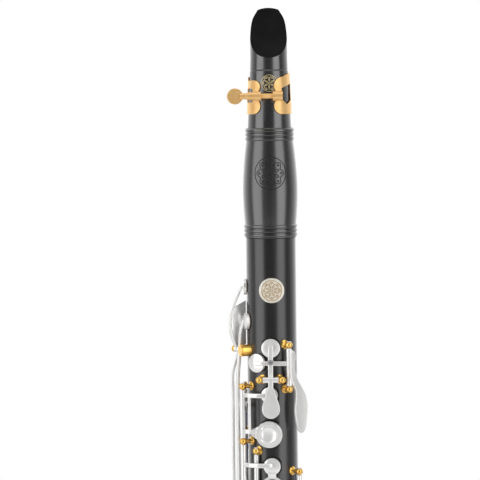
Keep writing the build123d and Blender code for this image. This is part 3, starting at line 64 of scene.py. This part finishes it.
# ---- node-tree helpers ----
class Material:
    """A node material with a principled shader, and short ways to add the nodes that drive it.

    The values are the shader's own inputs, written small and with underscores.
    """

    def __init__(self, name, **values):
        self.material = bpy.data.materials.new(name)
        self.material.use_nodes = True
        self.tree = self.material.node_tree
        self.shader = self.tree.nodes["Principled BSDF"]
        for key, value in values.items():
            self.shader.inputs[key.replace("_", " ").title().replace("Ior", "IOR")].default_value = value
        self.where = self.node("ShaderNodeTexCoord").outputs["Object"]

    def node(self, kind, **settings):
        made = self.tree.nodes.new(kind)
        for key, value in settings.items():
            setattr(made, key, value)
        return made

    def link(self, out, into):
        self.tree.links.new(out, into)

    def stretched(self, scale):
        """Object coordinates, stretched by scale along each axis."""
        mapping = self.node("ShaderNodeMapping")
        mapping.inputs["Scale"].default_value = scale
        self.link(self.where, mapping.inputs["Vector"])
        return mapping.outputs["Vector"]

    def noise(self, scale, detail=4.0, roughness=0.55, distortion=0.0, stretch=(1, 1, 1)):
        """Noise whose cells are about one over scale metres."""
        texture = self.node("ShaderNodeTexNoise")
        texture.inputs["Scale"].default_value = scale
        texture.inputs["Detail"].default_value = detail
        texture.inputs["Roughness"].default_value = roughness
        texture.inputs["Distortion"].default_value = distortion
        self.link(self.stretched(stretch), texture.inputs["Vector"])
        return texture.outputs["Fac"]

    def ramp(self, factor, stops):
        """Colours over a factor, as (position, colour) stops."""
        ramp = self.node("ShaderNodeValToRGB")
        elements = ramp.color_ramp.elements
        while len(elements) < len(stops):
            elements.new(0.5)
        for element, (position, colour) in zip(elements, stops):
            element.position = position
            element.color = (*colour, 1.0)
        self.link(factor, ramp.inputs["Fac"])
        return ramp.outputs["Color"]

    def spread(self, factor, low, high, start=0.3, stop=0.7):
        """A factor moved from start..stop to low..high."""
        span = self.node("ShaderNodeMapRange")
        for key, value in (("From Min", start), ("From Max", stop), ("To Min", low), ("To Max", high)):
            span.inputs[key].default_value = value
        self.link(factor, span.inputs["Value"])
        return span.outputs["Result"]

    def mix(self, factor, first, second):
        """A float mix of two outputs."""
        mixer = self.node("ShaderNodeMix")
        self.link(factor, mixer.inputs["Factor"])
        self.link(first, mixer.inputs["A"])
        self.link(second, mixer.inputs["B"])
        return mixer.outputs["Result"]

    def colour(self, out):
        self.link(out, self.shader.inputs["Base Color"])

    def rough(self, out):
        self.link(out, self.shader.inputs["Roughness"])

    def bump(self, *layers):
        """Height layers as (factor, depth in metres), stacked."""
        normal = None
        for factor, depth in layers:
            bump = self.node("ShaderNodeBump")
            bump.inputs["Strength"].default_value = 1.0
            bump.inputs["Distance"].default_value = depth
            self.link(factor, bump.inputs["Height"])
            if normal:
                self.link(normal, bump.inputs["Normal"])
            normal = bump.outputs["Normal"]
        self.link(normal, self.shader.inputs["Normal"])


# ---- materials ----
def blackwood(name, coat_weight, coat_ior):
    """Dense black wood under a rubbed polish: faint brown streaks and open pores along the bore."""
    m = Material(name, coat_weight=coat_weight, coat_ior=coat_ior, coat_roughness=0.22, ior=1.6)
    streaks = m.noise(300, 6, 0.6, 0.4, (1, 1, 0.035))
    m.colour(m.ramp(streaks, [(0.30, (0.0025, 0.0022, 0.0022)), (0.55, (0.006, 0.0053, 0.0053)),
                              (0.75, (0.018, 0.014, 0.012))]))
    m.rough(m.spread(m.noise(160, 5, 0.6, 0, (1, 1, 0.12)), 0.26, 0.36))
    pores = m.spread(m.noise(2600, 3, 0.5, 0, (1, 1, 0.05)), 0, 1, 0.60, 0.72)
    m.bump((streaks, 0.000012), (pores, -0.000012))
    return m.material


def ebonite():
    """Hard rubber: the body polished, the sloping beak left matt, with faint turning lines."""
    m = Material("ebonite", ior=1.75)
    geometry = m.node("ShaderNodeNewGeometry")
    up = m.node("ShaderNodeSeparateXYZ")
    m.link(geometry.outputs["Normal"], up.inputs["Vector"])
    place = m.node("ShaderNodeSeparateXYZ")
    m.link(m.where, place.inputs["Vector"])
    high = m.spread(place.outputs["Z"], 0, 1, BEAK_FOOT_Z - 1.5 * MM, BEAK_FOOT_Z - 0.5 * MM)
    beak = m.node("ShaderNodeMath", operation="MULTIPLY")
    m.link(m.spread(up.outputs["Z"], 0, 1, 0.10, 0.20), beak.inputs[0])
    m.link(high, beak.inputs[1])
    fine = m.noise(2400, 3, 0.6)
    m.rough(m.mix(beak.outputs["Value"], m.spread(m.noise(150, 4), 0.20, 0.28), m.spread(fine, 0.50, 0.62)))
    m.link(m.spread(beak.outputs["Value"], 0.9, 0.05, 0, 1), m.shader.inputs["Specular IOR Level"])
    cloud = m.noise(90, 4, 0.6)
    m.colour(m.ramp(cloud, [(0.35, (0.004, 0.004, 0.0045)), (0.70, (0.008, 0.008, 0.0085))]))
    turning = m.noise(1.0, 2, 0.5, 0, (1, 1, 4200))
    m.bump((turning, 0.0000025), (fine, 0.000003))
    return m.material


def plated(name, base, shade, low, high, grain=(1, 1, 1), depth=0.000003, metallic=1.0):
    """Plated metal: faint haze in the colour from shade to base, and rubbed scratches along the grain."""
    m = Material(name, metallic=metallic)
    m.colour(m.ramp(m.noise(220, 5, 0.6), [(0.32, shade), (0.62, base)]))
    m.rough(m.spread(m.noise(900, 4, 0.6, 0, grain), low, high))
    m.bump((m.noise(1530, 4, 0.6, 0, grain), depth))
    return m.material


def cork():
    """Sheet cork: tan cells with darker specks."""
    m = Material("cork", specular_ior_level=0.25)
    cells = m.node("ShaderNodeTexVoronoi")
    cells.inputs["Scale"].default_value = 900
    m.link(m.where, cells.inputs["Vector"])
    specks = m.noise(700, 4, 0.7)
    m.colour(m.ramp(specks, [(0.34, (0.16, 0.075, 0.030)), (0.45, (0.42, 0.245, 0.115)),
                             (0.70, (0.56, 0.36, 0.19))]))
    m.rough(m.spread(specks, 0.75, 0.92))
    m.bump((cells.outputs["Distance"], 0.00006), (specks, 0.00008))
    return m.material


def cane():
    """Reed cane: straw yellow with brown fibres along its length."""
    m = Material("cane", specular_ior_level=0.35)
    fibres = m.noise(2200, 5, 0.6, 0.2, (1, 1, 0.012))
    patches = m.noise(70, 3, 0.5, 0.3, (1, 1, 0.4))
    colour = m.node("ShaderNodeMix", data_type="RGBA", blend_type="MULTIPLY")
    colour.inputs["Factor"].default_value = 0.6
    straw = m.ramp(fibres, [(0.36, (0.33, 0.19, 0.07)), (0.48, (0.66, 0.46, 0.20)),
                            (0.72, (0.80, 0.62, 0.32))])
    m.link(straw, colour.inputs["A"])
    m.link(m.ramp(patches, [(0.35, (0.78, 0.66, 0.48)), (0.65, (1, 1, 1))]), colour.inputs["B"])
    m.colour(colour.outputs["Result"])
    m.rough(m.spread(fibres, 0.45, 0.65))
    m.bump((fibres, 0.00004))
    return m.material


def pad_skin():
    """Fish skin over felt: cream, slightly crinkled."""
    m = Material("pad_skin", specular_ior_level=0.4, subsurface_weight=0.1, subsurface_scale=0.0006)
    crinkle = m.noise(1500, 5, 0.6, 1.2)
    m.colour(m.ramp(crinkle, [(0.32, (0.62, 0.52, 0.36)), (0.62, (0.84, 0.76, 0.60))]))
    m.rough(m.spread(crinkle, 0.42, 0.6))
    m.bump((crinkle, 0.00004))
    return m.material


def dark_cut():
    """Darkened cuts in the wood: matt black with a fine grain."""
    m = Material("dark_cut")
    grain = m.noise(1800, 4, 0.6)
    m.colour(m.ramp(grain, [(0.35, (0.002, 0.002, 0.002)), (0.65, (0.006, 0.006, 0.006))]))
    m.rough(m.spread(grain, 0.55, 0.75))
    m.bump((grain, 0.000006))
    return m.material


FINISHES = {
    "grenadilla": blackwood("blackwood", 0.6, 1.5),
    "ebonite": ebonite(),
    "cane": cane(),
    "cork": cork(),
    "gold_plate": plated("gold_plate", (0.96, 0.60, 0.16), (0.88, 0.48, 0.09), 0.16, 0.28, (1, 1, 0.25),
                         metallic=0.85),
    "medallion_gold": plated("medallion_gold", (0.96, 0.93, 0.86), (0.86, 0.79, 0.66), 0.30, 0.46,
                             metallic=0.25),
    "silver_plate": plated("silver_plate", (0.98, 0.975, 0.965), (0.92, 0.915, 0.905), 0.16, 0.26,
                           (1, 1, 0.2), depth=0.000001, metallic=0.38),
    "steel": plated("steel", (0.66, 0.66, 0.67), (0.54, 0.54, 0.55), 0.22, 0.34, (1, 1, 0.1), metallic=0.8),
    "blued_steel": plated("blued_steel", (0.07, 0.10, 0.22), (0.04, 0.05, 0.11), 0.25, 0.36),
    "pad_skin": pad_skin(),
}
satin_gold = plated("satin_gold", (0.97, 0.62, 0.26), (0.92, 0.54, 0.19), 0.30, 0.42, (1, 1, 0.25),
                    metallic=0.5)
# pieces whose finish differs a little from the rest of their slot
OWN_FINISHES = {
    "barrel": blackwood("polished_blackwood", 1.0, 1.75),
    "ligature_band": satin_gold,
    "ligature_screw": satin_gold,
}
slot_of = {s["node"]: s["material_slot"] for s in frame["record"]["subparts"]}
for name, node in nodes.items():
    node.data.materials.clear()
    node.data.materials.append(OWN_FINISHES.get(name, FINISHES[slot_of[name]]))
    for polygon in node.data.polygons:
        polygon.material_index = 0


# ---- rosettes: generic ornaments that follow the surface under them ----
def on_wall(radius_at):
    """Puts (s, z, lift) on a wall of revolution: s round it from the middle of the front, lift off it."""
    def place(s, z, lift):
        r = radius_at(z)
        return Vector(((r + lift) * math.sin(s / r), -(r + lift) * math.cos(s / r), z))
    return place


def on_face(y):
    """Puts (s, z, lift) on a flat face that looks to the front."""
    return lambda s, z, lift: Vector((s, y - lift, z))


class Ornament:
    """Closed raised lines on a surface, gathered in one mesh about a height of their middle.

    The lines rise by lift over the surface and reach down into it by sink.
    """

    def __init__(self, name, place, centre_z, lift, sink):
        self.name, self.place, self.centre_z = name, place, centre_z
        self.section = ((-1, -sink), (-1, lift * 0.7), (0, lift), (1, lift * 0.7), (1, -sink))
        self.verts, self.faces = [], []

    def line(self, outline, width):
        """A closed line through (s, z) points about the ornament's middle, slightly crowned."""
        count, around = len(outline), len(self.section)
        start = len(self.verts)
        for i, (s, z) in enumerate(outline):
            before, after = outline[i - 1], outline[(i + 1) % count]
            along = Vector((after[0] - before[0], after[1] - before[1])).normalized()
            side = Vector((-along.y, along.x)) * width / 2
            for way, lift in self.section:
                self.verts.append(self.place(s + way * side.x, self.centre_z + z + way * side.y, lift))
        for i in range(count):
            a, b = start + around * i, start + around * ((i + 1) % count)
            for k in range(around):
                n = (k + 1) % around
                self.faces.append((a + k, b + k, b + n, a + n))

    def circle(self, r, width, at=(0, 0), count=72):
        """A ring of radius r about the point at."""
        self.line([(at[0] + r * math.cos(t), at[1] + r * math.sin(t))
                   for t in (2 * math.pi * i / count for i in range(count))], width)

    def wave(self, r, swing, petals, width, count=288):
        """A closed line that swings in and out of a circle once for each petal."""
        points = []
        for i in range(count):
            t = 2 * math.pi * i / count
            reach = r + swing * math.cos(petals * t)
            points.append((reach * math.cos(t), reach * math.sin(t)))
        self.line(points, width)

    def leaf(self, r0, r1, half, turn, width, count=28):
        """A pointed leaf along the direction turn, from r0 to r1 off the middle."""
        outline = []
        for i in range(count):
            t = i / count * 2
            along = t if t < 1 else 2 - t
            across = math.sin(math.pi * along) * half * (1 if t < 1 else -1)
            reach = r0 + (r1 - r0) * along
            outline.append((reach * math.cos(turn) - across * math.sin(turn),
                            reach * math.sin(turn) + across * math.cos(turn)))
        self.line(outline, width)

    def make(self, material, body):
        """Builds the mesh as a visible piece on that body."""
        mesh = bpy.data.meshes.new(self.name)
        mesh.from_pydata(self.verts, [], self.faces)
        mesh.validate()
        mesh.update()
        mesh.shade_smooth()
        mesh.materials.append(material)
        piece = bpy.data.objects.new(self.name, mesh)
        bpy.context.scene.collection.objects.link(piece)
        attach(piece, body)


def rosette(ornament, r, width, petals=8):
    """A ring, a waved garland with a pearl in each fold, a star of leaves and a small middle ring.

    Everything in it is a share of its radius r.
    """
    ornament.circle(r, width)
    ornament.wave(r * 0.78, r * 0.09, petals, width)
    for i in range(petals):
        fold, leaf = 2 * math.pi * i / petals, 2 * math.pi * (i + 0.5) / petals
        ornament.circle(r * 0.05, width, (r * 0.70 * math.cos(fold), r * 0.70 * math.sin(fold)), 14)
        ornament.leaf(r * 0.24, r * 0.60, r * 0.08, leaf, width)
    ornament.circle(r * 0.13, width, count=24)


def mouthpiece_radius(z):
    """The mouthpiece's cone."""
    t = (z - BARREL_HIGH_Z) / (BEAK_FOOT_Z - BARREL_HIGH_Z)
    return MOUTH_FOOT_R + (MOUTH_TOP_R - MOUTH_FOOT_R) * t


def barrel_radius(z):
    """The barrel's swelling, as it is turned: widest below the middle."""
    if z < BARREL_BELLY_Z:
        t = (BARREL_BELLY_Z - z) / (BARREL_BELLY_Z - BARREL_LOW_Z - BEAD_BAND)
        return BARREL_BELLY_R + (BARREL_FOOT_R - BARREL_BELLY_R) * t * t
    t = (z - BARREL_BELLY_Z) / (BARREL_HIGH_Z - BEAD_BAND - BARREL_BELLY_Z)
    return BARREL_BELLY_R + (BARREL_WAIST_R - BARREL_BELLY_R) * (0.35 * t + 0.65 * t * t)


pale_gold = plated("printed_gold", (0.93, 0.82, 0.46), (0.80, 0.66, 0.32), 0.30, 0.45, metallic=0.5)
bright_relief = plated("bright_relief", (0.98, 0.96, 0.88), (0.92, 0.87, 0.72), 0.16, 0.28, metallic=0.4)
# the medallion's raised relief lines are painted a darker brown-gold: painted shade that stands in for the
# shadows along the relief
shade_painted_relief = plated("shade_painted_relief", (0.60, 0.43, 0.22), (0.48, 0.32, 0.15), 0.30, 0.45, metallic=0.5)

middle_z, radius, width = MOUTHPIECE_ROSETTE
mouth_mark = Ornament("mouthpiece_rosette", on_wall(mouthpiece_radius), middle_z, 0.03 * MM, 0.04 * MM)
rosette(mouth_mark, radius, width, petals=6)
mouth_mark.make(pale_gold, "mouthpiece")

middle_z, radius, width = BARREL_ROSETTE
barrel_mark = Ornament("barrel_rosette", on_wall(barrel_radius), middle_z, 0.03 * MM, 0.05 * MM)
rosette(barrel_mark, radius, width)
barrel_mark.make(dark_cut(), "barrel")

middle_z, radius, width = MEDALLION_RIM
medal_rim = Ornament("medallion_rim", on_face(MEDALLION_LOW.y), middle_z, 0.2 * MM, 0.1 * MM)
medal_rim.circle(radius, width)
medal_rim.make(bright_relief, "upper_joint")

# the relief lines carry a darker gold that is painted shade, so the pattern reads on the pale disc
middle_z, radius, width = MEDALLION_RELIEF
medal_mark = Ornament("medallion_relief", on_face(MEDALLION_LOW.y), middle_z, 0.12 * MM, 0.1 * MM)
rosette(medal_mark, radius, width)
medal_mark.make(shade_painted_relief, "upper_joint")


# ---- floor, light and camera ----
STUDIO_FRONT, STUDIO_BACK = 0.14, 1.6    # how bright the studio is before and behind the instrument
CAMERA_DISTANCE, CAMERA_Z = 1.75, 0.640
SENSOR_WIDTH = 36                        # millimetres, as the lens
VIEW_HEIGHT = 0.2899                     # what the picture takes in at the instrument
VIEW_MIDDLE = Vector((-0.0186, 0, TIP_Z - 0.1397))
ROLL = math.radians(-0.7)                # the instrument leans a little in the picture


def make_floor(radius=2.2, count=128):
    """A pale round floor."""
    mesh = bpy.data.meshes.new("floor")
    rim = [(radius * math.cos(t), radius * math.sin(t), 0)
           for t in (2 * math.pi * i / count for i in range(count))]
    mesh.from_pydata(rim, [], [tuple(range(count))])
    m = Material("floor", roughness=0.6)
    m.colour(m.ramp(m.noise(3, 3), [(0.3, (0.78, 0.78, 0.78)), (0.7, (0.82, 0.82, 0.82))]))
    mesh.materials.append(m.material)
    floor = bpy.data.objects.new("floor", mesh)
    bpy.context.scene.collection.objects.link(floor)


def make_softbox(name, azimuth, power, width, tall=2.0, distance=1.3, height=0.75, aim_z=0.45):
    """A soft light at an azimuth from the front, aimed at a height on the instrument."""
    a = math.radians(azimuth)
    data = bpy.data.lights.new(name, "AREA")
    data.shape, data.size, data.size_y, data.energy = "RECTANGLE", width, tall, power
    lamp = bpy.data.objects.new(name, data)
    lamp.location = (distance * math.sin(a), -distance * math.cos(a), height)
    lamp.rotation_mode = "QUATERNION"
    lamp.rotation_quaternion = (Vector((0, 0, aim_z)) - lamp.location).to_track_quat("-Z", "Y")
    bpy.context.scene.collection.objects.link(lamp)


def make_world():
    """White to the eye; to the object a studio that is dim in front and bright behind."""
    world = bpy.data.worlds.new("studio")
    bpy.context.scene.world = world
    world.use_nodes = True
    tree = world.node_tree
    tree.nodes.clear()
    output = tree.nodes.new("ShaderNodeOutputWorld")
    seen = tree.nodes.new("ShaderNodeBackground")
    felt = tree.nodes.new("ShaderNodeBackground")
    mix = tree.nodes.new("ShaderNodeMixShader")
    seen.inputs["Color"].default_value = (1, 1, 1, 1)
    path = tree.nodes.new("ShaderNodeLightPath")
    direction = tree.nodes.new("ShaderNodeTexCoord")
    split = tree.nodes.new("ShaderNodeSeparateXYZ")
    tree.links.new(direction.outputs["Generated"], split.inputs["Vector"])
    span = tree.nodes.new("ShaderNodeMapRange")
    ends = {"From Min": -0.1, "From Max": 1.0, "To Min": STUDIO_FRONT, "To Max": STUDIO_BACK}
    for key, value in ends.items():
        span.inputs[key].default_value = value
    tree.links.new(split.outputs["Y"], span.inputs["Value"])
    tree.links.new(span.outputs["Result"], felt.inputs["Strength"])
    felt.inputs["Color"].default_value = (1, 1, 1, 1)
    tree.links.new(path.outputs["Is Camera Ray"], mix.inputs["Fac"])
    tree.links.new(felt.outputs["Background"], mix.inputs[1])
    tree.links.new(seen.outputs["Background"], mix.inputs[2])
    tree.links.new(mix.outputs["Shader"], output.inputs["Surface"])


def make_camera():
    """A level camera in front, far enough back for straight edges."""
    data = bpy.data.cameras.new("camera")
    data.sensor_width = SENSOR_WIDTH
    camera = bpy.data.objects.new("camera", data)
    camera.location = (VIEW_MIDDLE.x, -CAMERA_DISTANCE, CAMERA_Z)
    look = VIEW_MIDDLE - camera.location
    data.lens = SENSOR_WIDTH * look.length / VIEW_HEIGHT
    camera.rotation_mode = "QUATERNION"
    camera.rotation_quaternion = look.to_track_quat("-Z", "Y") @ Quaternion((0, 0, 1), ROLL)
    bpy.context.scene.collection.objects.link(camera)
    bpy.context.scene.camera = camera


make_floor()
make_world()
make_softbox("left_softbox", -58, power=12, width=1.1)
make_softbox("right_softbox", 46, power=10.5, width=0.95)
make_softbox("top_softbox", 0, power=5, width=1.2, tall=1.2, distance=0.4, height=2.0, aim_z=0.4)
make_camera()
bpy.context.scene.view_settings.view_transform = "Standard"
